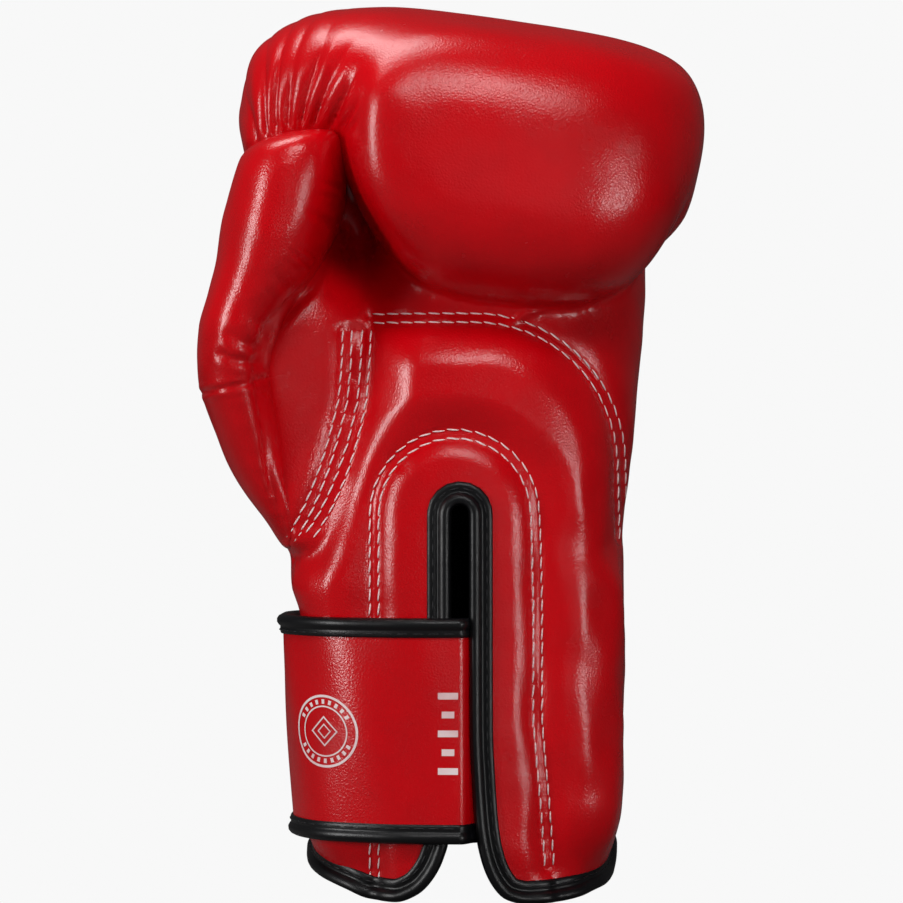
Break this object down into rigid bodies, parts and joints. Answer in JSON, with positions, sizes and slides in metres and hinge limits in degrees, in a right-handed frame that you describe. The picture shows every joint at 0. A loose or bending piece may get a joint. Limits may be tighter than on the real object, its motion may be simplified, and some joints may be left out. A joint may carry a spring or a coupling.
{
  "type": "boxing glove",
  "caption": "Left-hand padded boxing glove with a curled fist, a sewn-on thumb, a slit cuff and a hook-and-loop wrist strap that peels open.",
  "frame": {"origin": "under the middle of the glove, on the plane of the cuff's hem", "axes": "+Z from the hem towards the knuckles, -Y towards the palm side, -X towards the thumb"},
  "size_m": [0.1736, 0.1298, 0.2997],
  "materials": {
    "red_leather": "semi-gloss coated synthetic leather, fine grain",
    "black_binding": "black coated binding strip, sewn on",
    "padding_foam": "closed-cell foam",
    "lining_cloth": "woven nylon lining",
    "seam_thread": "waxed polyester thread",
    "fastening_tape": "hook-and-loop tape"
  },
  "bodies": {
    "glove": {"back_cover": "red_leather", "fist_end_panel": "red_leather", "cuff_back_cover": "red_leather", "palm_upper_panel": "red_leather", "side_gusset": "red_leather", "thumb_seam_strip": "red_leather", "palm_pad_cover": "red_leather", "slit_facing": "red_leather", "thumb_outer_panel": "red_leather", "thumb_inner_panel": "red_leather", "thumb_lock_tab": "red_leather", "edge_binding": "black_binding", "knuckle_foam_outer": "padding_foam", "knuckle_foam_inner": "padding_foam", "palm_pad_foam": "padding_foam", "back_hand_foam": "padding_foam", "cuff_back_foam": "padding_foam", "thumb_foam": "padding_foam", "grip_bar": "padding_foam", "hand_lining": "lining_cloth", "thumb_lining": "lining_cloth", "palm_seam_thread": "seam_thread", "thumb_strip_thread_inner": "seam_thread", "thumb_strip_thread_outer": "seam_thread", "slit_facing_thread": "seam_thread", "loop_tape": "fastening_tape"},
    "strap_front": {"strap_front_leather": "red_leather", "strap_front_binding_top": "black_binding", "strap_front_binding_bottom": "black_binding", "strap_front_backing": "lining_cloth"},
    "strap_side": {"strap_side_leather": "red_leather", "strap_side_binding_top": "black_binding", "strap_side_binding_bottom": "black_binding", "strap_side_backing": "lining_cloth"},
    "strap_tail": {"strap_tail_leather": "red_leather", "strap_tail_binding_top": "black_binding", "strap_tail_binding_bottom": "black_binding", "strap_tail_backing": "lining_cloth", "hook_tape": "fastening_tape", "strap_end_binding": "black_binding"}
  },
  "joints": [
    {"name": "strap_root", "type": "hinge", "parent": "glove", "child": "strap_front", "pos_m": [0.00644, -0.045, 0.057], "axis": [0, 0, 1], "range_deg": [0, 30]},
    {"name": "strap_palm_fold", "type": "hinge", "parent": "strap_front", "child": "strap_side", "pos_m": [-0.03086, -0.03941, 0.057], "axis": [0, 0, 1], "range_deg": [0, 60]},
    {"name": "strap_peel", "type": "hinge", "parent": "strap_side", "child": "strap_tail", "pos_m": [-0.03086, 0.04541, 0.057], "axis": [0, 0, 1], "range_deg": [0, 120]}
  ],
  "couplings": [
    {"joint": "strap_root", "follows": "strap_peel", "ratio": 0.25},
    {"joint": "strap_palm_fold", "follows": "strap_peel", "ratio": 0.5}
  ]
}
